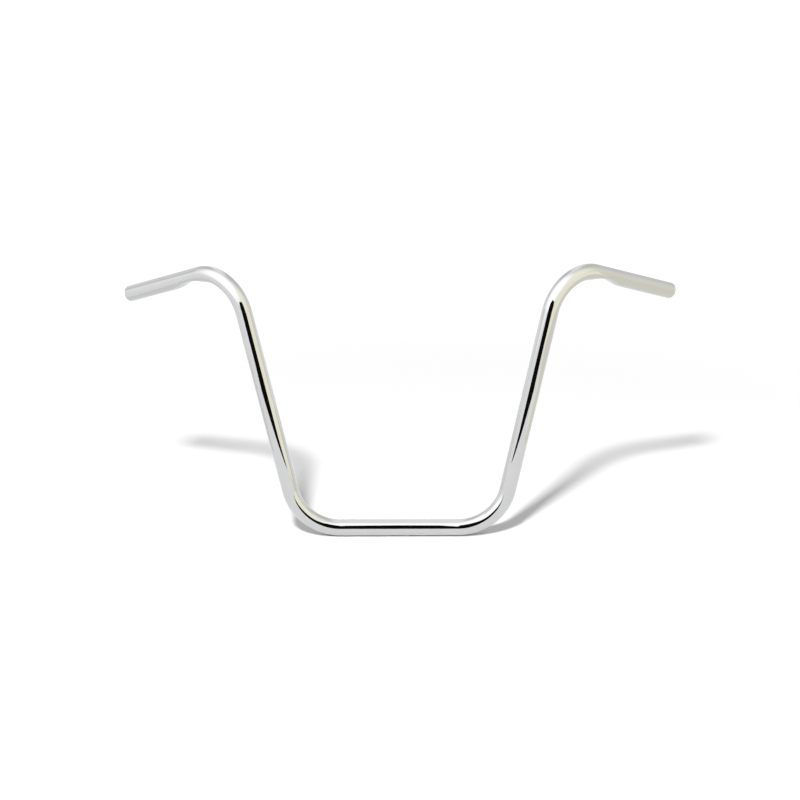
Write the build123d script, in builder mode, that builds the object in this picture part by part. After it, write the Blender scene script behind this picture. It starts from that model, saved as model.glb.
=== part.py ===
from build123d import *
from math import asin, cos, degrees, pi, radians, sin, tan
import os

# Chromed one-inch motorcycle handlebar of the tall, swept-back kind.
#
# Frame: the origin is the middle of the low straight that the clamps hold.
# +X points to the rider's left hand, +Y back towards the rider, +Z up.
# All sizes are in millimetres and all angles in degrees.

# ---- Driving dimensions ----------------------------------------------------

# Tube
tube_diameter = 25.4            # one inch, the size that the clamps and grips take
tube_wall = 2.5
end_edge_break = 0.3            # chamfer on the cut ends of the tube

# Centreline, given at the corners where its straights would meet
base_half_width = 154.0         # middle of the bar to a lower corner
riser_length = 423.0            # lower corner to upper corner
riser_lean = 12.5               # outward from upright
grip_length = 241.0             # upper corner to the end of the tube
grip_sweep = 39.0               # backward from straight across
grip_droop = 17.0               # downward from level
lower_bend_radius = 79.0
upper_bend_radius = 66.0

# Press for the control wires, on the underside just inboard of each grip
press_depth = 5.3
press_length = 76.0
press_from_end = 148.0          # end of the tube to the deepest point
press_step = 6.0                # greatest distance between two lofted sections

# Slight flattening that the bender leaves inside each upper bend
flat_depth = 0.85
flat_length = 48.0
flat_from_end = 198.0

# Shape of a pressed section: how far below level its corner arcs begin and end
shoulder_angle = 10.0
keel_angle = 77.5

# End plugs
plug_head_thickness = 2.0
plug_head_inset = 0.2           # head radius below the tube's, so that a grip slides over it
plug_head_rounding = 1.0
plug_crown = 0.8                # how far the head's middle stands above its rim
plug_length = 20.0              # spigot, inside the tube
plug_wall = 1.8
plug_clearance = 0.05           # radial, between the ribs and the bore
plug_rib_height = 0.6
plug_rib_width = 1.6
plug_rib_count = 4
plug_lead_in = 1.0              # chamfer on the spigot's inner end

# ---- Derived sizes ---------------------------------------------------------

tube_radius = tube_diameter / 2
bore_radius = tube_radius - tube_wall

riser_direction = Vector(sin(radians(riser_lean)), 0, cos(radians(riser_lean)))
grip_direction = Vector(
    cos(radians(grip_droop)) * cos(radians(grip_sweep)),
    cos(radians(grip_droop)) * sin(radians(grip_sweep)),
    -sin(radians(grip_droop)),
)

lower_corner = Vector(base_half_width, 0, 0)
upper_corner = lower_corner + riser_direction * riser_length
tube_end = upper_corner + grip_direction * grip_length

pressed_from = press_from_end - press_length / 2
pressed_to = max(press_from_end + press_length / 2, flat_from_end + flat_length / 2)

# ---- Centreline ------------------------------------------------------------


def mirrored(point):
    """The same point on the other half of the bar."""
    return Vector(-point.X, point.Y, point.Z)


with BuildLine() as centreline:
    FilletPolyline(
        mirrored(tube_end),
        mirrored(upper_corner),
        mirrored(lower_corner),
        lower_corner,
        upper_corner,
        tube_end,
        radius=[upper_bend_radius, lower_bend_radius, lower_bend_radius, upper_bend_radius],
    )

route = centreline.wire()


def square_plane(from_end):
    """Plane square to the tube at a distance from its +X end, its own Y pointing upward."""
    reached = route.length - from_end
    point = route.position_at(reached, position_mode=PositionMode.LENGTH)
    along = route.tangent_at(reached, position_mode=PositionMode.LENGTH)
    return Plane(origin=point, x_dir=Vector(0, 0, 1).cross(along), z_dir=along)


# ---- Sections --------------------------------------------------------------


def depth_at(from_end):
    """How far the underside is pressed in: the wire press and the bend's flat, each a smooth dip."""

    def dip(centre, length, depth):
        offset = min(abs(from_end - centre) / (length / 2), 1)
        return depth * cos(offset * pi / 2) ** 2

    press = dip(press_from_end, press_length, press_depth)
    flat = dip(flat_from_end, flat_length, flat_depth)
    return press + flat


def pressed_outline(plane, depth, inward):
    """Closed outline of a round tube pressed in from below, drawn inward of its surface.

    It is four tangent arcs. The top keeps the tube's radius, two tight corner arcs run down
    from the shoulders, and a flatter keel arc joins them along the bottom. At depth 0 all four
    are one circle, and drawn further inward they keep their centres.
    """
    shoulder = radians(shoulder_angle)
    keel = radians(keel_angle)
    rise_per_shift = 1 - sin(shoulder) - cos(shoulder) * (1 - sin(keel)) / cos(keel)
    shift = depth / rise_per_shift
    corner_x = shift * cos(shoulder)
    corner_y = -shift * sin(shoulder)
    corner_radius = tube_radius - shift - inward
    keel_radius = corner_radius + corner_x / cos(keel)
    keel_y = corner_y + corner_x * tan(keel)
    turn = keel_angle - shoulder_angle
    # Plain edges, because a builder would merge the four arcs into one wherever they make a circle
    arcs = [
        CenterArc((0, 0), tube_radius - inward, -shoulder_angle, 180 + 2 * shoulder_angle),
        CenterArc((-corner_x, corner_y), corner_radius, 180 + shoulder_angle, turn),
        CenterArc((0, keel_y), keel_radius, 180 + keel_angle, 180 - 2 * keel_angle),
        CenterArc((corner_x, corner_y), corner_radius, -keel_angle, turn),
    ]
    return Wire([plane * arc for arc in arcs])


def pressed_ring(from_end):
    """Section of the pressed tube at a distance from its +X end, with its wall the same all round."""
    plane = square_plane(from_end)
    depth = depth_at(from_end)
    return Face(pressed_outline(plane, depth, 0), [pressed_outline(plane, depth, tube_wall)])


def tube_ring():
    """Round section of the plain tube."""
    Circle(tube_radius)
    Circle(bore_radius, mode=Mode.SUBTRACT)


# ---- Bar tube --------------------------------------------------------------

station_count = int((pressed_to - pressed_from) / press_step) + 2
stations = [
    pressed_to + (pressed_from - pressed_to) * index / (station_count - 1)
    for index in range(station_count)
]
plain_run = route.trim(pressed_to / route.length, 1 - pressed_to / route.length)

with BuildPart() as bar_tube:
    # Pressed stretch of the +X side, from the bend out to the grip
    loft([pressed_ring(station) for station in stations])
    # Plain tube under the grip, cut square at its end
    with BuildSketch(square_plane(pressed_from)):
        tube_ring()
    extrude(amount=pressed_from)
    end_rims = bar_tube.edges().filter_by(GeomType.CIRCLE).filter_by_position(
        Axis(tube_end, grip_direction), -0.01, 0.01
    )
    chamfer(end_rims, length=end_edge_break)
    # The -X side is its mirror image
    mirror(about=Plane.YZ)
    # Plain tube from one pressed stretch to the other, round both pairs of bends
    with BuildSketch(Plane(origin=plain_run @ 0, z_dir=plain_run % 0)):
        tube_ring()
    sweep(path=plain_run)

bar_tube.part.label = "bar_tube"

# ---- End plugs -------------------------------------------------------------

rib_radius = bore_radius - plug_clearance
spigot_radius = rib_radius - plug_rib_height
head_radius = tube_radius - plug_head_inset
crown_radius = (head_radius**2 + plug_crown**2) / (2 * plug_crown)
crown_angle = degrees(asin(head_radius / crown_radius))
rib_pitch = plug_length / (plug_rib_count + 1)

# Half profile through the axis, its own X across the tube and its own Y outward from the end
across = square_plane(0).x_dir
plug_axis = Axis(tube_end, grip_direction)
profile_plane = Plane(origin=tube_end, x_dir=across, z_dir=across.cross(grip_direction))

with BuildPart() as left_end_plug:
    with BuildSketch(profile_plane) as profile:
        # Head: a rounded disc with a low crown, flat where it lands on the tube
        with BuildLine():
            Polyline(
                (0, plug_head_thickness + plug_crown),
                (0, 0),
                (head_radius, 0),
                (head_radius, plug_head_thickness),
            )
            CenterArc(
                (0, plug_head_thickness + plug_crown - crown_radius),
                crown_radius,
                90 - crown_angle,
                crown_angle,
            )
        make_face()
        # A sketch gives its own points in its plane's X and Y
        rim = profile.vertices().group_by(Axis.X)[-1].sort_by(Axis.Y)[-1]
        fillet(rim, radius=plug_head_rounding)
        # Spigot: a plain sleeve that goes into the bore
        with Locations((spigot_radius - plug_wall / 2, -plug_length / 2)):
            Rectangle(plug_wall, plug_length)
        tip = profile.vertices().sort_by(Axis.Y)[:2].sort_by(Axis.X)[-1]
        chamfer(tip, length=plug_lead_in)
        # Ribs round the spigot, which hold it in the bore
        with Locations([(spigot_radius, -rib_pitch * count) for count in range(1, plug_rib_count + 1)]):
            Rectangle(2 * plug_rib_height, plug_rib_width)
    revolve(axis=plug_axis)

right_end_plug = mirror(left_end_plug.part, about=Plane.YZ)

left_end_plug.part.label = "left_end_plug"
right_end_plug.label = "right_end_plug"

# ---- Files -----------------------------------------------------------------

os.makedirs("parts", exist_ok=True)
export_step(bar_tube.part, "parts/bar_tube.step")
export_step(left_end_plug.part, "parts/left_end_plug.step")
export_step(right_end_plug, "parts/right_end_plug.step")
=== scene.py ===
"""Looks of the chromed handlebar: a smooth bent tube, two end plugs, their chrome and a studio."""

import math

import bmesh
import bpy
from mathutils import Matrix, Vector


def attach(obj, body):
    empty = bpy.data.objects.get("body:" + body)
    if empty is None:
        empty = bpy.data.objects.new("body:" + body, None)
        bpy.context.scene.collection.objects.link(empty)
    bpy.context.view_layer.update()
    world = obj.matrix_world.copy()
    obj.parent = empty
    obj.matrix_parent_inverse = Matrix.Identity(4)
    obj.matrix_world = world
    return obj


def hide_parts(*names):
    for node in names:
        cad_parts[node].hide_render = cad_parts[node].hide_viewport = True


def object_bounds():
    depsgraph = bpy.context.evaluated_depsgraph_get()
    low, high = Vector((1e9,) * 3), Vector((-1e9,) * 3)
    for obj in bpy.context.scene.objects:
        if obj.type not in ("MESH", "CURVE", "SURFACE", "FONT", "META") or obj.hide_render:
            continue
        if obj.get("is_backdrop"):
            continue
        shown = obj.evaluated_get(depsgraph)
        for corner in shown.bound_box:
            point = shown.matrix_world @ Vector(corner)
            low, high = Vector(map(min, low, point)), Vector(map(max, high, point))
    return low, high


bl_info = {
    "name": "Chrome Handlebar",
    "version": (1, 0, 0),
    "blender": (4, 5, 0),
    "location": "View3D > Sidebar > Handlebar",
    "description": "Builds a tall chromed motorcycle handlebar with its end plugs and a studio",
    "category": "Add Mesh",
}

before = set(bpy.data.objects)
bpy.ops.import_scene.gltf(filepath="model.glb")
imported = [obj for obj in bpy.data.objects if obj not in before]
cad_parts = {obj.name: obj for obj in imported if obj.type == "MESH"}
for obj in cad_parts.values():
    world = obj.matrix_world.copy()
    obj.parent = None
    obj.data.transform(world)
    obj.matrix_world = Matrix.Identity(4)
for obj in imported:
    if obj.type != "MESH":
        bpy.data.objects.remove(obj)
CAD_LOW, CAD_HIGH = (list(corner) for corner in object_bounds())

BODY = "root"
UP = Vector((0, 0, 1))

# Vertices nearer than these are one: across the mirror plane, and on a turned piece's axis
MIRROR_MERGE = 0.00001
AXIS_MERGE = 0.000002

# Distance between the tube's mesh rings, closer where it bends or is pressed
BASE_PITCH = 0.015
LOWER_BEND_PITCH = 0.002
RISER_PITCH = 0.02
UPPER_BEND_PITCH = 0.00175
PRESS_PITCH = 0.002
GRIP_PITCH = 0.01

# Shape of a pressed section: how far below level its corner arcs begin and end
SHOULDER = math.radians(10)
KEEL = math.radians(77.5)

# Small breaks on a plug: behind its head, on its ribs, and on its inner end
HEAD_BREAK = 0.00012
RIB_BREAK = 0.0002
LEAD_IN = 0.001

# Straight steps in a plug's crown and in its rounded rim
CROWN_STEPS = 10
RIM_STEPS = 8

# Edges that turn by more than this many degrees stay sharp
SHARP = 30
PLUG_SHARP = 25

# Chrome: how its lines and grain are stretched, its warmer tone, and its range of haze
LINES_ON_TUBE = (6, 5200, 1)
GRAIN_ON_PLUG = (900, 900, 900)
WARMER = (0.985, 0.978, 0.968)
LEAST_HAZE, MOST_HAZE = 0.8, 1.7

# Chrome: strength and height of its relief
PEEL_STRENGTH = 0.05
PEEL_HEIGHT = 0.00002
LINE_HEIGHT = 0.00001

# Floor and backdrop: the darker tone of the paper, the fade to white with the distance from the
# bar's middle, and the two whites
PAPER_SHADE = 0.985
FADE_FROM, FADE_TO = 0.9, 2.4
FLOOR_WHITE = 1.13
BACKDROP_WHITE = 1.06

# Tent: its tint on the warm side
WARM_TINT = (1.04, 1.02, 0.86)

# Cards: height of the mats above the floor, how far a mat over or under them lies apart, and
# the places in front of the bar of the two upright dark cards
MAT_HEIGHT = 0.0012
OVER_MAT = 0.001
UNDER_MAT = 0.0004
FRONT = -0.95
LOW_FLAG = -0.50

# Key light: its place and its size
KEY_PLACE = (-0.705, -3.443, 3.711)
KEY_RADIUS = 0.27

# Camera: its place, its turn, tilt and lean in degrees, and its lens and sensor in millimetres
CAMERA_PLACE = (0.0693, -2.5616, 0.8989)
CAMERA_ANGLES = (-1.476, -15.159, -0.618)
CAMERA_LENS = 78.61
CAMERA_SENSOR = 36


# ---- Sizes and colours that a user would change ----------------------------


class HandlebarTubeSizes(bpy.types.PropertyGroup):
    """Sizes of the bent tube, given at the corners where its straights would meet"""

    diameter: bpy.props.FloatProperty(
        name="Tube diameter",
        description="Outside diameter, the size that the clamps and grips take",
        default=0.0254,
        unit="LENGTH",
    )
    wall: bpy.props.FloatProperty(
        name="Wall", description="Thickness of the tube's wall", default=0.0025, unit="LENGTH"
    )
    edge_break: bpy.props.FloatProperty(
        name="Edge break", description="Chamfer on the cut ends", default=0.0003, unit="LENGTH"
    )
    base_half_width: bpy.props.FloatProperty(
        name="Base half width",
        description="Middle of the bar to a lower corner",
        default=0.154,
        unit="LENGTH",
    )
    riser_length: bpy.props.FloatProperty(
        name="Riser length",
        description="Lower corner to upper corner",
        default=0.423,
        unit="LENGTH",
    )
    riser_lean: bpy.props.FloatProperty(
        name="Riser lean",
        description="Outward lean of each riser from upright",
        default=math.radians(12.5),
        subtype="ANGLE",
    )
    grip_length: bpy.props.FloatProperty(
        name="Grip length",
        description="Upper corner to the end of the tube",
        default=0.241,
        unit="LENGTH",
    )
    grip_sweep: bpy.props.FloatProperty(
        name="Grip sweep",
        description="How far each grip turns back towards the rider",
        default=math.radians(39),
        subtype="ANGLE",
    )
    grip_droop: bpy.props.FloatProperty(
        name="Grip droop",
        description="How far each grip falls below level",
        default=math.radians(17),
        subtype="ANGLE",
    )
    lower_bend_radius: bpy.props.FloatProperty(
        name="Lower bend radius",
        description="Radius of the centreline in each lower bend",
        default=0.079,
        unit="LENGTH",
    )
    upper_bend_radius: bpy.props.FloatProperty(
        name="Upper bend radius",
        description="Radius of the centreline in each upper bend",
        default=0.066,
        unit="LENGTH",
    )
    press_depth: bpy.props.FloatProperty(
        name="Press depth",
        description="Depth of the press for the control wires",
        default=0.0053,
        unit="LENGTH",
    )
    press_length: bpy.props.FloatProperty(
        name="Press length",
        description="Length of the press for the control wires",
        default=0.076,
        unit="LENGTH",
    )
    press_from_end: bpy.props.FloatProperty(
        name="Press from end",
        description="End of the tube to the deepest point of the press",
        default=0.148,
        unit="LENGTH",
    )
    flat_depth: bpy.props.FloatProperty(
        name="Bend flat depth",
        description="Flattening that the bender leaves inside each upper bend",
        default=0.00085,
        unit="LENGTH",
    )
    flat_length: bpy.props.FloatProperty(
        name="Bend flat length",
        description="Length of the flattening inside each upper bend",
        default=0.048,
        unit="LENGTH",
    )
    flat_from_end: bpy.props.FloatProperty(
        name="Bend flat from end",
        description="End of the tube to the middle of the flattening",
        default=0.198,
        unit="LENGTH",
    )
    facets: bpy.props.IntProperty(
        name="Facets", description="Facets round the tube", default=96, min=24, max=128
    )


class HandlebarPlugSizes(bpy.types.PropertyGroup):
    """Sizes of the two push-in end plugs"""

    head_thickness: bpy.props.FloatProperty(
        name="Head thickness",
        description="Thickness of the head's rim",
        default=0.002,
        unit="LENGTH",
    )
    head_inset: bpy.props.FloatProperty(
        name="Head inset",
        description="Head radius below the tube's, so that a grip slides over it",
        default=0.0002,
        unit="LENGTH",
    )
    head_rounding: bpy.props.FloatProperty(
        name="Head rounding",
        description="Rounding of the head's outer edge",
        default=0.001,
        unit="LENGTH",
    )
    crown: bpy.props.FloatProperty(
        name="Crown",
        description="How far the head's middle stands above its rim",
        default=0.0008,
        unit="LENGTH",
    )
    spigot_length: bpy.props.FloatProperty(
        name="Spigot length", description="Part inside the tube", default=0.02, unit="LENGTH"
    )
    spigot_wall: bpy.props.FloatProperty(
        name="Spigot wall", description="Thickness of the spigot", default=0.0018, unit="LENGTH"
    )
    clearance: bpy.props.FloatProperty(
        name="Rib clearance",
        description="Radial gap between the ribs and the bore",
        default=0.00005,
        unit="LENGTH",
    )
    rib_height: bpy.props.FloatProperty(
        name="Rib height", description="How far a rib stands out", default=0.0006, unit="LENGTH"
    )
    rib_width: bpy.props.FloatProperty(
        name="Rib width", description="Width of each rib", default=0.0016, unit="LENGTH"
    )
    rib_count: bpy.props.IntProperty(
        name="Ribs", description="Ribs round each spigot", default=4, min=1, max=8
    )
    facets: bpy.props.IntProperty(
        name="Facets", description="Facets round each plug", default=96, min=24, max=128
    )


class HandlebarFinish(bpy.types.PropertyGroup):
    """Chrome finish of the tube and plugs"""

    chrome: bpy.props.FloatVectorProperty(
        name="Chrome",
        description="Tone of the bright plating",
        default=(0.60, 0.605, 0.61),
        size=3,
        min=0,
        max=1,
        subtype="COLOR",
    )
    haze: bpy.props.FloatProperty(
        name="Haze",
        description="Softness of the plating's reflections",
        default=0.035,
        min=0,
        max=1,
    )
    draw_lines: bpy.props.FloatProperty(
        name="Draw lines",
        description="Strength of the polished-out draw lines along the tube",
        default=0.025,
        min=0,
        max=1,
    )


class HandlebarStudio(bpy.types.PropertyGroup):
    """Floor, light and tent of the studio"""

    floor: bpy.props.FloatVectorProperty(
        name="Floor",
        description="Colour of the floor",
        default=(0.8, 0.8, 0.8),
        size=3,
        min=0,
        max=1,
        subtype="COLOR",
    )
    floor_reach: bpy.props.FloatProperty(
        name="Floor reach", description="Half the floor's width", default=14, unit="LENGTH"
    )
    key_light: bpy.props.FloatProperty(
        name="Key light", description="Brightness of the key light", default=43.5, min=0
    )
    fill_light: bpy.props.FloatProperty(
        name="Fill light", description="Brightness of the fill light", default=1.7, min=0
    )
    tent: bpy.props.FloatProperty(
        name="Tent", description="Brightness of the white tent", default=1.05, min=0
    )


# ---- Shape of the tube -----------------------------------------------------


class Bend:
    """One bend of the centreline, between two straights that meet at a corner"""

    def __init__(self, corner, arriving, leaving, radius):
        self.radius = radius
        self.angle = arriving.angle(leaving)
        self.axis = arriving.cross(leaving).normalized()
        self.start = corner - arriving * (radius * math.tan(self.angle / 2))
        self.end = corner + leaving * (radius * math.tan(self.angle / 2))
        self.centre = self.start + self.axis.cross(arriving) * radius
        self.arriving = arriving

    @property
    def length(self):
        return self.radius * self.angle

    def turned(self, point):
        """Angle that a point has gone round the bend, from its start"""
        arm = point - self.centre
        first = self.start - self.centre
        return math.atan2(self.axis.dot(first.cross(arm)), first.dot(arm))

    def place(self, turned):
        """Centreline point and direction at an angle round the bend"""
        turn = Matrix.Rotation(turned, 3, self.axis)
        return self.centre + turn @ (self.start - self.centre), turn @ self.arriving


class Centreline:
    """Centreline of the +X half of the tube"""

    def __init__(self, sizes):
        lean, droop, sweep = sizes.riser_lean, sizes.grip_droop, sizes.grip_sweep
        across = Vector((1, 0, 0))
        self.riser = Vector((math.sin(lean), 0, math.cos(lean)))
        self.grip = Vector(
            (
                math.cos(droop) * math.cos(sweep),
                math.cos(droop) * math.sin(sweep),
                -math.sin(droop),
            )
        )
        lower_corner = Vector((sizes.base_half_width, 0, 0))
        upper_corner = lower_corner + self.riser * sizes.riser_length
        self.end = upper_corner + self.grip * sizes.grip_length
        self.lower = Bend(lower_corner, across, self.riser, sizes.lower_bend_radius)
        self.upper = Bend(upper_corner, self.riser, self.grip, sizes.upper_bend_radius)
        self.grip_run = (self.end - self.upper.end).length
        self.riser_run = (self.upper.start - self.lower.end).length
        self.half_length = (
            self.lower.start.length
            + self.lower.length
            + self.riser_run
            + self.upper.length
            + self.grip_run
        )

    def from_end(self, point):
        """Distance along the centreline from the tube's end to a point on the +X half"""
        along_grip = (point - self.upper.end).dot(self.grip)
        if along_grip > 0:
            return self.grip_run - along_grip
        turned = self.upper.turned(point)
        if turned > 0:
            return self.grip_run + self.upper.radius * (self.upper.angle - turned)
        run = self.grip_run + self.upper.length
        along_riser = (point - self.lower.end).dot(self.riser)
        if along_riser > 0:
            return run + self.riser_run - along_riser
        turned = self.lower.turned(point)
        run += self.riser_run
        if turned > 0:
            return run + self.lower.radius * (self.lower.angle - turned)
        return run + self.lower.length + self.lower.start.x - point.x

    def place(self, from_end):
        """Centreline point and direction in the grip or the upper bend"""
        if from_end <= self.grip_run:
            return self.end - self.grip * from_end, self.grip
        return self.upper.place(
            self.upper.angle - (from_end - self.grip_run) / self.upper.radius
        )


def press_depth(sizes, from_end):
    """How far the underside is pressed in: the wire press and the bend's flat"""

    def dip(centre, length, depth):
        offset = min(abs(from_end - centre) / (length / 2), 1)
        return depth * math.cos(offset * math.pi / 2) ** 2

    return dip(sizes.press_from_end, sizes.press_length, sizes.press_depth) + dip(
        sizes.flat_from_end, sizes.flat_length, sizes.flat_depth
    )


def press_shift(depth, normal):
    """Move, across and up, of the wall where its outline faces the angle normal, for a press depth.

    The top stays round. Two corner arcs run down from the shoulders, and a flatter keel arc
    joins them along the bottom.
    """
    shift = depth / (
        1 - math.sin(SHOULDER) - math.cos(SHOULDER) * (1 - math.sin(KEEL)) / math.cos(KEEL)
    )
    across, up = math.cos(normal), math.sin(normal)
    if up > -math.sin(SHOULDER):
        return 0, 0
    if up > -math.sin(KEEL):
        side = math.copysign(1, across)
        return (
            shift * (side * math.cos(SHOULDER) - across),
            shift * (-math.sin(SHOULDER) - up),
        )
    reach = shift * (math.cos(SHOULDER) / math.cos(KEEL) - 1)
    return (
        reach * across,
        shift * (math.cos(SHOULDER) * math.tan(KEEL) - math.sin(SHOULDER)) + reach * up,
    )


# ---- Mesh tools ------------------------------------------------------------


def edges_of(geometry):
    return [item for item in geometry if isinstance(item, bmesh.types.BMEdge)]


def verts_of(geometry):
    return [item for item in geometry if isinstance(item, bmesh.types.BMVert)]


def extrude_ring(bm, ring, move, steps=1):
    """Extrudes a ring of edges by a move, in equal steps, and returns the last ring"""
    for _ in range(steps):
        grown = bmesh.ops.extrude_edge_only(bm, edges=ring)["geom"]
        bmesh.ops.translate(bm, verts=verts_of(grown), vec=move / steps)
        ring = edges_of(grown)
    return ring


def spin_ring(bm, ring, bend, steps):
    """Carries a ring of edges round a bend and returns the last ring"""
    spun = bmesh.ops.spin(
        bm,
        geom=ring,
        cent=bend.centre,
        axis=bend.axis,
        angle=bend.angle,
        steps=steps,
        use_duplicate=False,
        use_merge=False,
    )
    return edges_of(spun["geom_last"])


def scale_ring(bm, ring, centre, factor):
    bmesh.ops.scale(
        bm,
        vec=(factor, factor, factor),
        space=Matrix.Translation(-centre),
        verts=list({vert for edge in ring for vert in edge.verts}),
    )


def tube_wall_surface(bm, route, sizes, radius, end_radius, facets, coarseness):
    """One wall of the +X half of the tube, from the middle of the bar to its cut end.

    Its rings stand coarseness times their pitch apart. Returns the ring of edges at the end,
    whose radius is end_radius.
    """
    turn = bm.verts.layers.float["turn"]
    first = bmesh.ops.create_circle(
        bm,
        cap_ends=False,
        segments=facets,
        radius=radius,
        matrix=Matrix.Rotation(math.pi / 2, 4, "Y"),
    )["verts"]
    for vert in first:
        vert[turn] = (math.atan2(vert.co.y, vert.co.z) / (2 * math.pi)) % 1.0
    ring = list({edge for vert in first for edge in vert.link_edges})

    def steps(length, pitch):
        return max(1, round(length / (pitch * coarseness)))

    pressed_from = sizes.press_from_end - sizes.press_length / 2
    pressed_run = route.grip_run - pressed_from
    base_run = route.lower.start.length
    riser = route.riser * route.riser_run
    ring = extrude_ring(bm, ring, route.lower.start, steps(base_run, BASE_PITCH))
    ring = spin_ring(bm, ring, route.lower, steps(route.lower.length, LOWER_BEND_PITCH))
    ring = extrude_ring(bm, ring, riser, steps(route.riser_run, RISER_PITCH))
    ring = spin_ring(bm, ring, route.upper, steps(route.upper.length, UPPER_BEND_PITCH))
    ring = extrude_ring(bm, ring, route.grip * pressed_run, steps(pressed_run, PRESS_PITCH))
    plain_run = pressed_from - sizes.edge_break
    ring = extrude_ring(bm, ring, route.grip * plain_run, steps(plain_run, GRIP_PITCH))
    ring = extrude_ring(bm, ring, route.grip * sizes.edge_break)
    scale_ring(bm, ring, route.end, end_radius / radius)
    return ring


def press_underside(bm, route, sizes):
    """Presses the underside of the +X half in for the control wires, both walls alike"""
    reach = max(
        sizes.press_from_end + sizes.press_length / 2, sizes.flat_from_end + sizes.flat_length / 2
    )
    for vert in bm.verts:
        from_end = route.from_end(vert.co)
        if from_end > reach:
            continue
        depth = press_depth(sizes, from_end)
        if depth <= 0:
            continue
        centre, along = route.place(from_end)
        across = UP.cross(along).normalized()
        upward = along.cross(across)
        arm = vert.co - centre
        move = press_shift(depth, math.atan2(arm.dot(upward), arm.dot(across)))
        vert.co += across * move[0] + upward * move[1]


def unwrap_tube(bm, route, radius):
    """Lays a UV map on the tube, in metres: U along the bar from its middle, V round it"""
    turn = bm.verts.layers.float["turn"]
    uv = bm.loops.layers.uv.new("LengthAndTurn")
    along = {}
    for vert in bm.verts:
        point = Vector((abs(vert.co.x), vert.co.y, vert.co.z))
        along[vert] = math.copysign(route.half_length - route.from_end(point), vert.co.x)
    round_length = 2 * math.pi * radius
    half_turn = 0.5
    for face in bm.faces:
        turns = [loop.vert[turn] for loop in face.loops]
        over_seam = max(turns) - min(turns) > half_turn
        for loop, share in zip(face.loops, turns):
            if over_seam and share < half_turn:
                share += 1
            loop[uv].uv = (along[loop.vert], share * round_length)


def finish_mesh(bm, name, sharp=SHARP):
    """Turns a bmesh into an object at the origin, smooth but for its sharp edges"""
    for face in bm.faces:
        face.smooth = True
    for edge in bm.edges:
        if len(edge.link_faces) == 2:
            edge.smooth = edge.calc_face_angle(0) < math.radians(sharp)
    mesh = bpy.data.meshes.new(name)
    bm.to_mesh(mesh)
    bm.free()
    piece = bpy.data.objects.new(name, mesh)
    bpy.context.scene.collection.objects.link(piece)
    return piece


# ---- Materials -------------------------------------------------------------


def new_material(name):
    material = bpy.data.materials.new(name)
    material.use_nodes = True
    nodes = material.node_tree.nodes
    nodes.clear()
    return material, nodes, material.node_tree.links


def add_node(nodes, kind, label, **settings):
    node = nodes.new(kind)
    node.label = label
    for key, value in settings.items():
        setattr(node, key, value)
    return node


def noise(nodes, links, label, vector, scale, detail=3.0, roughness=0.5):
    node = add_node(nodes, "ShaderNodeTexNoise", label)
    node.inputs["Scale"].default_value = scale
    node.inputs["Detail"].default_value = detail
    node.inputs["Roughness"].default_value = roughness
    links.new(vector, node.inputs["Vector"])
    return node.outputs["Fac"]


def spread(nodes, links, label, value, low, high, to_low, to_high):
    node = add_node(nodes, "ShaderNodeMapRange", label, clamp=True)
    sockets = ("From Min", "From Max", "To Min", "To Max")
    for socket, number in zip(sockets, (low, high, to_low, to_high)):
        node.inputs[socket].default_value = number
    links.new(value, node.inputs["Value"])
    return node.outputs["Result"]


def combine(nodes, links, label, operation, first, second):
    node = add_node(nodes, "ShaderNodeMath", label, operation=operation)
    for socket, value in zip(node.inputs, (first, second)):
        if isinstance(value, (int, float)):
            socket.default_value = value
        else:
            links.new(value, socket)
    return node.outputs["Value"]


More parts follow.
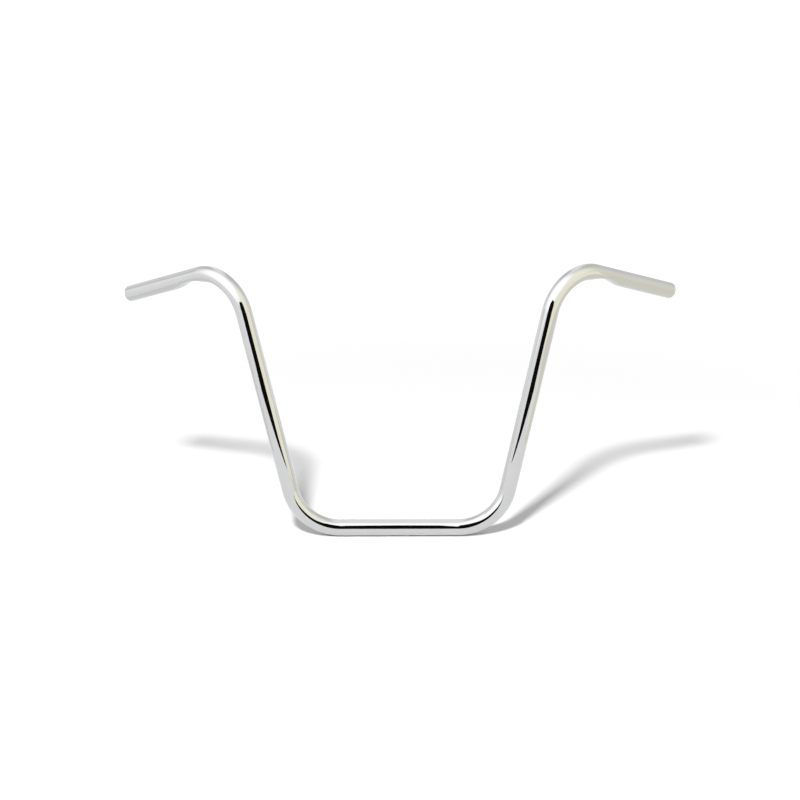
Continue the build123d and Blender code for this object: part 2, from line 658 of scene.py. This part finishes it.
def bright_chrome(name, finish, along_uv):
    """Bright decorative chrome: faint draw lines, orange peel, polishing haze and plating tone"""
    material, nodes, links = new_material(name)
    output = add_node(nodes, "ShaderNodeOutputMaterial", "Surface")
    shader = add_node(nodes, "ShaderNodeBsdfPrincipled", "Chrome plating")
    shader.inputs["Metallic"].default_value = 1.0
    links.new(shader.outputs["BSDF"], output.inputs["Surface"])
    place = add_node(nodes, "ShaderNodeTexCoord", "Place on the piece")

    # Fine lines that run with the tube, or an even fine grain on a plug
    lines_map = add_node(nodes, "ShaderNodeMapping", "Stretch into lines")
    if along_uv:
        links.new(place.outputs["UV"], lines_map.inputs["Vector"])
        lines_map.inputs["Scale"].default_value = LINES_ON_TUBE
    else:
        links.new(place.outputs["Object"], lines_map.inputs["Vector"])
        lines_map.inputs["Scale"].default_value = GRAIN_ON_PLUG
    lines = noise(nodes, links, "Draw lines", lines_map.outputs["Vector"], 1.0, 2.0, 0.6)

    # Slow differences left by the polishing wheel, and the plating's own orange peel
    polish = noise(nodes, links, "Polishing clouds", place.outputs["Object"], 38.0, 3.0, 0.55)
    peel = noise(nodes, links, "Orange peel", place.outputs["Object"], 620.0, 1.5, 0.4)
    specks = noise(nodes, links, "Fine specks", place.outputs["Object"], 2600.0, 1.0, 0.5)

    # Tone: two close chrome tones, clouded
    tone = add_node(nodes, "ShaderNodeMix", "Plating tone", data_type="RGBA")
    warm = [share * shade for share, shade in zip(WARMER, finish.chrome)]
    tone.inputs["A"].default_value = (*warm, 1)
    tone.inputs["B"].default_value = (*finish.chrome, 1)
    clouded = spread(nodes, links, "Clouds to tone", polish, 0.35, 0.65, 0.0, 1.0)
    links.new(clouded, tone.inputs["Factor"])
    links.new(tone.outputs["Result"], shader.inputs["Base Color"])

    # Haze: clean plating with softer clouds and the odd speck
    least, most = finish.haze * LEAST_HAZE, finish.haze * MOST_HAZE
    clouds = spread(nodes, links, "Clouds to haze", polish, 0.42, 0.72, least, most)
    dots = spread(nodes, links, "Specks to haze", specks, 0.68, 0.80, 0.0, 0.05)
    scratch = spread(nodes, links, "Lines to haze", lines, 0.55, 0.80, 0.0, 0.03)
    total = combine(nodes, links, "Haze and specks", "ADD", clouds, dots)
    total = combine(nodes, links, "Haze and lines", "ADD", total, scratch)
    links.new(total, shader.inputs["Roughness"])

    # Relief: lines and orange peel
    peel_bump = add_node(nodes, "ShaderNodeBump", "Orange peel relief")
    peel_bump.inputs["Strength"].default_value = PEEL_STRENGTH
    peel_bump.inputs["Distance"].default_value = PEEL_HEIGHT
    links.new(peel, peel_bump.inputs["Height"])
    line_bump = add_node(nodes, "ShaderNodeBump", "Draw line relief")
    line_bump.inputs["Strength"].default_value = finish.draw_lines
    line_bump.inputs["Distance"].default_value = LINE_HEIGHT
    links.new(lines, line_bump.inputs["Height"])
    links.new(peel_bump.outputs["Normal"], line_bump.inputs["Normal"])
    links.new(line_bump.outputs["Normal"], shader.inputs["Normal"])
    return material


# ---- Bar tube --------------------------------------------------------------


class HANDLEBAR_OT_bar_tube(bpy.types.Operator):
    """Build the bent, chromed tube as one smooth hollow piece"""

    bl_idname = "handlebar.bar_tube"
    bl_label = "Bar Tube"
    bl_options = {"REGISTER", "UNDO"}

    def execute(self, context):
        sizes = context.scene.handlebar_tube
        route = Centreline(sizes)
        radius, bore = sizes.diameter / 2, sizes.diameter / 2 - sizes.wall
        bm = bmesh.new()
        bm.verts.layers.float.new("turn")
        outer = tube_wall_surface(
            bm, route, sizes, radius, radius - sizes.edge_break, sizes.facets, 1
        )
        inner = tube_wall_surface(
            bm, route, sizes, bore, bore + sizes.edge_break, sizes.facets // 2, 2
        )
        press_underside(bm, route, sizes)
        bmesh.ops.bridge_loops(bm, edges=outer + inner)
        bmesh.ops.mirror(
            bm,
            geom=bm.verts[:] + bm.edges[:] + bm.faces[:],
            matrix=Matrix.Identity(4),
            merge_dist=MIRROR_MERGE,
            axis="X",
        )
        bmesh.ops.recalc_face_normals(bm, faces=bm.faces[:])
        unwrap_tube(bm, route, radius)
        tube = finish_mesh(bm, "smooth_bar_tube")
        tube.data.materials.append(
            bright_chrome("bar_chrome_plating", context.scene.handlebar_finish, True)
        )
        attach(tube, BODY)
        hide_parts("bar_tube")
        return {"FINISHED"}


# ---- End plugs -------------------------------------------------------------


def plug_profile(tube, plug):
    """Half profile of a plug: (distance from its axis, distance out from the tube's end)"""
    bore = tube.diameter / 2 - tube.wall
    rib = bore - plug.clearance
    spigot = rib - plug.rib_height
    hollow = spigot - plug.spigot_wall
    head = tube.diameter / 2 - plug.head_inset
    crown_radius = (head**2 + plug.crown**2) / (2 * plug.crown)
    crown_centre = plug.head_thickness + plug.crown - crown_radius
    # Rounded rim, tangent to the head's side and to its crown
    rim_x = head - plug.head_rounding
    rim_y = crown_centre + math.sqrt((crown_radius - plug.head_rounding) ** 2 - rim_x**2)
    meet = math.atan2(rim_x, rim_y - crown_centre)
    profile = [
        (crown_radius * math.sin(angle), crown_centre + crown_radius * math.cos(angle))
        for angle in (meet * share / CROWN_STEPS for share in range(1, CROWN_STEPS + 1))
    ]
    arc_from = math.pi / 2 - meet
    profile += [
        (
            rim_x + plug.head_rounding * math.cos(arc_from * (1 - share / RIM_STEPS)),
            rim_y + plug.head_rounding * math.sin(arc_from * (1 - share / RIM_STEPS)),
        )
        for share in range(1, RIM_STEPS + 1)
    ]
    profile += [(head, HEAD_BREAK), (head - HEAD_BREAK, 0.0), (spigot, 0.0)]
    pitch = plug.spigot_length / (plug.rib_count + 1)
    half_width = plug.rib_width / 2
    for count in range(1, plug.rib_count + 1):
        middle = -pitch * count
        profile += [
            (spigot, middle + half_width),
            (rib - RIB_BREAK, middle + half_width),
            (rib, middle + half_width - RIB_BREAK),
            (rib, middle - half_width + RIB_BREAK),
            (rib - RIB_BREAK, middle - half_width),
            (spigot, middle - half_width),
        ]
    profile += [
        (spigot, -plug.spigot_length + LEAD_IN),
        (spigot - LEAD_IN, -plug.spigot_length),
        (hollow, -plug.spigot_length),
        (hollow, 0.0),
    ]
    top = (0.0, plug.head_thickness + plug.crown)
    return [top] + profile + [(0.0, 0.0)]


class HANDLEBAR_OT_end_plugs(bpy.types.Operator):
    """Turn the two push-in end plugs"""

    bl_idname = "handlebar.end_plugs"
    bl_label = "End Plugs"
    bl_options = {"REGISTER", "UNDO"}

    def execute(self, context):
        tube, plug = context.scene.handlebar_tube, context.scene.handlebar_plug
        route = Centreline(tube)
        plating = bright_chrome("plug_chrome_plating", context.scene.handlebar_finish, False)
        across = UP.cross(route.grip).normalized()
        for name, side in (("left_end_plug", 1), ("right_end_plug", -1)):
            bm = bmesh.new()
            line = [
                bm.verts.new(route.end + across * out + route.grip * up)
                for out, up in plug_profile(tube, plug)
            ]
            edges = [bm.edges.new(pair) for pair in zip(line, line[1:])]
            bmesh.ops.spin(
                bm,
                geom=line + edges,
                cent=route.end,
                axis=route.grip,
                angle=2 * math.pi,
                steps=plug.facets,
                use_merge=True,
                use_duplicate=False,
            )
            bmesh.ops.remove_doubles(bm, verts=bm.verts[:], dist=AXIS_MERGE)
            if side < 0:
                bmesh.ops.scale(bm, vec=(-1, 1, 1), verts=bm.verts[:])
            bmesh.ops.recalc_face_normals(bm, faces=bm.faces[:])
            piece = finish_mesh(bm, "turned_" + name, PLUG_SHARP)
            piece.data.materials.append(plating)
            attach(piece, BODY)
            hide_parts(name)
        return {"FINISHED"}


# ---- Stage -----------------------------------------------------------------


def aim(azimuth, elevation):
    """Direction from the bar: azimuth 0 is in front of it, positive towards +X, in degrees.

    On the stage, left and right are the viewer's, so +X is right.
    """
    turn, rise = math.radians(azimuth), math.radians(elevation)
    return Vector(
        (math.sin(turn) * math.cos(rise), -math.cos(turn) * math.cos(rise), math.sin(rise))
    )


def stage_plane(name, corners):
    """Flat face of the stage from its corners"""
    bm = bmesh.new()
    bm.faces.new([bm.verts.new(corner) for corner in corners])
    plane = finish_mesh(bm, name)
    plane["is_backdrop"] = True
    return plane


def glowing_material(name, colour, strength):
    """Even glow of a studio card, left out of direct light sampling"""
    material, nodes, links = new_material(name)
    material.cycles.emission_sampling = "NONE"
    output = add_node(nodes, "ShaderNodeOutputMaterial", "Surface")
    card = add_node(nodes, "ShaderNodeEmission", "Card")
    card.inputs["Color"].default_value = (*colour, 1)
    card.inputs["Strength"].default_value = strength
    links.new(card.outputs["Emission"], output.inputs["Surface"])
    return material


def add_cards(ground):
    """Cards and mats that only the chrome sees: its black line is the dark ones' reflection"""
    velvet = glowing_material("flag_velvet", (0.006, 0.006, 0.006), 1.0)
    low = ground + MAT_HEIGHT
    under, over = low - UNDER_MAT, low + OVER_MAT
    for name, corners, material in (
        (
            "dark_flag",
            [
                (x, FRONT, z)
                for x, z in (
                    (-0.50, low), (-0.50, 0.30), (-0.33, 0.52), (-0.06, 0.67),
                    (0.05, 0.61), (0.30, 0.48), (0.47, 0.28), (0.47, low),
                )
            ],
            velvet,
        ),
        (
            "dark_mat",
            [(-0.50, FRONT, low), (0.47, FRONT, low), (0.47, -0.64, low), (-0.50, -0.64, low)],
            velvet,
        ),
        (
            "back_mat",
            [
                (-3.0, 0.36, under), (3.0, 0.36, under),
                (3.0, 5.0, under), (-3.0, 5.0, under),
            ],
            glowing_material("mat_white", (1, 1, 1), 0.99),
        ),
        (
            "warm_mat",
            [(0.47, FRONT, low), (9.0, -5.0, low), (9.0, 2.4, low), (0.47, 0.36, low)],
            glowing_material("mat_cream", (1.035, 1.015, 0.90), 0.945),
        ),
        (
            "warm_near_mat",
            [
                (0.47, FRONT, over), (0.74, FRONT, over),
                (0.68, -0.12, over), (0.47, -0.12, over),
            ],
            glowing_material("near_cream", (1.03, 1.015, 0.92), 1.12),
        ),
        # Dimmer glowing mat under the viewer's left grip: painted shade of the floor there, as the
        # chrome mirrors it
        (
            "floor_shade_mat",
            [(-0.84, -0.06, low), (-0.45, -0.06, low), (-0.45, 0.40, low), (-0.84, 0.32, low)],
            glowing_material("mat_painted_floor_shade", (1, 1, 1), 0.92),
        ),
        (
            "low_flag",
            [
                (x, LOW_FLAG, z)
                for x, z in (
                    (-0.14, 0.25), (-0.12, 0.51), (-0.02, 0.575), (0.06, 0.53), (0.10, 0.25),
                )
            ],
            velvet,
        ),
        (
            "warm_card",
            [(0.48, -0.97, low), (1.35, -0.10, low), (1.35, -0.10, 0.50), (0.48, -0.97, 0.50)],
            glowing_material("card_cream", (1.04, 1.02, 0.80), 1.22),
        ),
    ):
        card = stage_plane(name, corners)
        card.data.materials.append(material)
        card.visible_camera = False
        card.visible_diffuse = False
        card.visible_shadow = False


def floor_material(studio):
    """Pale paper that catches the bar's shadow and burns out to white further away"""
    material, nodes, links = new_material("floor_paper")
    material.cycles.emission_sampling = "NONE"
    output = add_node(nodes, "ShaderNodeOutputMaterial", "Surface")
    place = add_node(nodes, "ShaderNodeTexCoord", "Place on the floor")
    grain = noise(nodes, links, "Paper grain", place.outputs["Object"], 240.0, 4.0, 0.6)
    tone = add_node(nodes, "ShaderNodeMix", "Paper tone", data_type="RGBA")
    tone.inputs["A"].default_value = (*(PAPER_SHADE * part for part in studio.floor), 1)
    tone.inputs["B"].default_value = (*studio.floor, 1)
    links.new(grain, tone.inputs["Factor"])
    paper = add_node(nodes, "ShaderNodeBsdfDiffuse", "Paper")
    links.new(tone.outputs["Result"], paper.inputs["Color"])
    glow = add_node(nodes, "ShaderNodeEmission", "Burnt-out white")
    glow.inputs["Strength"].default_value = FLOOR_WHITE
    away = add_node(nodes, "ShaderNodeVectorMath", "Distance from the bar", operation="LENGTH")
    links.new(place.outputs["Object"], away.inputs[0])
    fade = add_node(
        nodes, "ShaderNodeMapRange", "Fade to white", interpolation_type="SMOOTHSTEP"
    )
    fade.inputs["From Min"].default_value = FADE_FROM
    fade.inputs["From Max"].default_value = FADE_TO
    links.new(away.outputs["Value"], fade.inputs["Value"])
    blend = add_node(nodes, "ShaderNodeMixShader", "Paper to white")
    links.new(fade.outputs["Result"], blend.inputs["Fac"])
    links.new(paper.outputs["BSDF"], blend.inputs[1])
    links.new(glow.outputs["Emission"], blend.inputs[2])
    links.new(blend.outputs["Shader"], output.inputs["Surface"])
    return material


def tent_world(studio):
    """White tent that the chrome mirrors, brightest at the left front, and an even backdrop"""
    world = bpy.data.worlds.new("white_tent")
    bpy.context.scene.world = world
    world.use_nodes = True
    nodes, links = world.node_tree.nodes, world.node_tree.links
    nodes.clear()
    output = add_node(nodes, "ShaderNodeOutputWorld", "Tent")
    direction = add_node(nodes, "ShaderNodeTexCoord", "Direction").outputs["Generated"]

    def patch(label, azimuth, elevation, inner, outer, amount):
        """Smooth round patch of the tent, full inside one angle and gone outside another"""
        facing = add_node(nodes, "ShaderNodeVectorMath", label, operation="DOT_PRODUCT")
        facing.inputs[1].default_value = aim(azimuth, elevation)
        links.new(direction, facing.inputs[0])
        soft = add_node(
            nodes, "ShaderNodeMapRange", label + " edge", interpolation_type="SMOOTHSTEP"
        )
        soft.inputs["From Min"].default_value = math.cos(math.radians(outer))
        soft.inputs["From Max"].default_value = math.cos(math.radians(inner))
        soft.inputs["To Max"].default_value = amount
        links.new(facing.outputs["Value"], soft.inputs["Value"])
        return soft.outputs["Result"]

    level = patch("Side light", -42, 38, 16, 62, 0.68)
    for label, azimuth, elevation, inner, outer, amount in (
        ("Overhead", 0, 90, 10, 40, 0.08),
        ("Right front", 42, 28, 15, 52, 0.24),
        ("Right side", 100, 8, 10, 40, -0.06),
        ("Back wall", 166, 46, 12, 56, -0.27),
        ("Back strip low", 182, 25, 6, 15, 0.24),
        ("Back strip", 180, 46, 6, 15, 0.36),
        ("Back strip high", 180, 68, 6, 17, 0.30),
        ("Back left", -136, 32, 6, 34, -0.08),
        ("Left strip", -98, 9, 3, 12, 0.12),
        ("Left seam", -118, 22, 2, 8, -0.14),
    ):
        level = combine(
            nodes, links, "Add " + label.lower(), "ADD", level,
            patch(label, azimuth, elevation, inner, outer, amount),
        )
    level = combine(nodes, links, "Tent level", "ADD", level, studio.tent)
    tint = add_node(nodes, "ShaderNodeMix", "Warm card tint", data_type="RGBA")
    tint.inputs["A"].default_value = (1.0, 1.0, 1.0, 1)
    tint.inputs["B"].default_value = (*WARM_TINT, 1)
    links.new(patch("Warm side", 62, 14, 20, 62, 1.0), tint.inputs["Factor"])
    tent = add_node(nodes, "ShaderNodeBackground", "Tent walls")
    links.new(tint.outputs["Result"], tent.inputs["Color"])
    links.new(level, tent.inputs["Strength"])
    backdrop = add_node(nodes, "ShaderNodeBackground", "White backdrop")
    backdrop.inputs["Color"].default_value = (1, 1, 1, 1)
    backdrop.inputs["Strength"].default_value = BACKDROP_WHITE
    seen = add_node(nodes, "ShaderNodeLightPath", "What looks at it")
    choose = add_node(nodes, "ShaderNodeMixShader", "Backdrop behind the bar")
    links.new(seen.outputs["Is Camera Ray"], choose.inputs["Fac"])
    links.new(tent.outputs["Background"], choose.inputs[1])
    links.new(backdrop.outputs["Background"], choose.inputs[2])
    links.new(choose.outputs["Shader"], output.inputs["Surface"])
    world.cycles.sampling_method = "NONE"
    world.cycles_visibility.diffuse = False


def add_camera():
    """Camera in front of the bar, turned slightly left, tilted down and leant slightly right"""
    turn, tilt, lean = (math.radians(angle) for angle in CAMERA_ANGLES)
    forward = Vector(
        (math.sin(turn) * math.cos(tilt), math.cos(turn) * math.cos(tilt), math.sin(tilt))
    )
    level = Vector((math.cos(turn), -math.sin(turn), 0))
    above = level.cross(forward)
    right = math.cos(lean) * level + math.sin(lean) * above
    up = -math.sin(lean) * level + math.cos(lean) * above
    lens = bpy.data.cameras.new("camera")
    lens.lens = CAMERA_LENS
    lens.sensor_width = CAMERA_SENSOR
    camera = bpy.data.objects.new("camera", lens)
    camera.matrix_world = Matrix.Translation(CAMERA_PLACE) @ Matrix(
        (right, up, -forward)
    ).transposed().to_4x4()
    return camera


class HANDLEBAR_OT_stage(bpy.types.Operator):
    """Set up the floor, cards, lights, tent and camera"""

    bl_idname = "handlebar.stage"
    bl_label = "Stage"
    bl_options = {"REGISTER", "UNDO"}

    def execute(self, context):
        studio = context.scene.handlebar_studio
        ground, reach = CAD_LOW[2], studio.floor_reach

        floor = stage_plane(
            "floor",
            [
                (x * reach, y * reach, ground)
                for x, y in ((-1, -1), (1, -1), (1, 1), (-1, 1))
            ],
        )
        floor.data.materials.append(floor_material(studio))

        add_cards(ground)

        # Key light from the viewer's left front, which throws the shadow back and to the right
        key = bpy.data.lights.new("key_light", "POINT")
        key.shadow_soft_size = KEY_RADIUS
        key.energy = 1.0
        key.use_nodes = True
        nodes, links = key.node_tree.nodes, key.node_tree.links
        nodes.clear()
        output = add_node(nodes, "ShaderNodeOutputLight", "Light")
        lamp = add_node(nodes, "ShaderNodeEmission", "Lamp")
        even = add_node(nodes, "ShaderNodeLightFalloff", "Even over the floor")
        even.inputs["Strength"].default_value = studio.key_light
        links.new(even.outputs["Constant"], lamp.inputs["Strength"])
        links.new(lamp.outputs["Emission"], output.inputs["Surface"])
        key_object = bpy.data.objects.new("key_light", key)
        key_object.location = KEY_PLACE
        key_object.visible_glossy = False
        context.scene.collection.objects.link(key_object)

        # Fill from the whole sky, for the floor only
        fill = bpy.data.lights.new("fill_light", "SUN")
        fill.angle = math.pi
        fill.energy = studio.fill_light
        fill_object = bpy.data.objects.new("fill_light", fill)
        fill_object.visible_glossy = False
        context.scene.collection.objects.link(fill_object)

        tent_world(studio)

        camera = add_camera()
        context.scene.collection.objects.link(camera)
        context.scene.camera = camera
        context.scene.view_settings.view_transform = "Standard"
        return {"FINISHED"}


# ---- Sidebar and registration ----------------------------------------------


class HANDLEBAR_PT_sidebar(bpy.types.Panel):
    """Lists the handlebar's pieces and sizes"""

    bl_label = "Handlebar"
    bl_idname = "HANDLEBAR_PT_sidebar"
    bl_space_type = "VIEW_3D"
    bl_region_type = "UI"
    bl_category = "Handlebar"

    def draw(self, context):
        scene = context.scene
        for operator, group in (
            ("handlebar.bar_tube", scene.handlebar_tube),
            ("handlebar.end_plugs", scene.handlebar_plug),
            (None, scene.handlebar_finish),
            ("handlebar.stage", scene.handlebar_studio),
        ):
            box = self.layout.box()
            for name in group.__annotations__:
                box.prop(group, name)
            if operator:
                box.operator(operator)


CLASSES = (
    HandlebarTubeSizes,
    HandlebarPlugSizes,
    HandlebarFinish,
    HandlebarStudio,
    HANDLEBAR_OT_bar_tube,
    HANDLEBAR_OT_end_plugs,
    HANDLEBAR_OT_stage,
    HANDLEBAR_PT_sidebar,
)


def register():
    for cls in CLASSES:
        bpy.utils.register_class(cls)
    bpy.types.Scene.handlebar_tube = bpy.props.PointerProperty(type=HandlebarTubeSizes)
    bpy.types.Scene.handlebar_plug = bpy.props.PointerProperty(type=HandlebarPlugSizes)
    bpy.types.Scene.handlebar_finish = bpy.props.PointerProperty(type=HandlebarFinish)
    bpy.types.Scene.handlebar_studio = bpy.props.PointerProperty(type=HandlebarStudio)


def unregister():
    del bpy.types.Scene.handlebar_tube
    del bpy.types.Scene.handlebar_plug
    del bpy.types.Scene.handlebar_finish
    del bpy.types.Scene.handlebar_studio
    for cls in reversed(CLASSES):
        bpy.utils.unregister_class(cls)


def main():
    register()
    bpy.ops.handlebar.bar_tube()
    bpy.ops.handlebar.end_plugs()
    bpy.ops.handlebar.stage()
    bpy.context.view_layer.update()


if __name__ == "__main__":
    main()
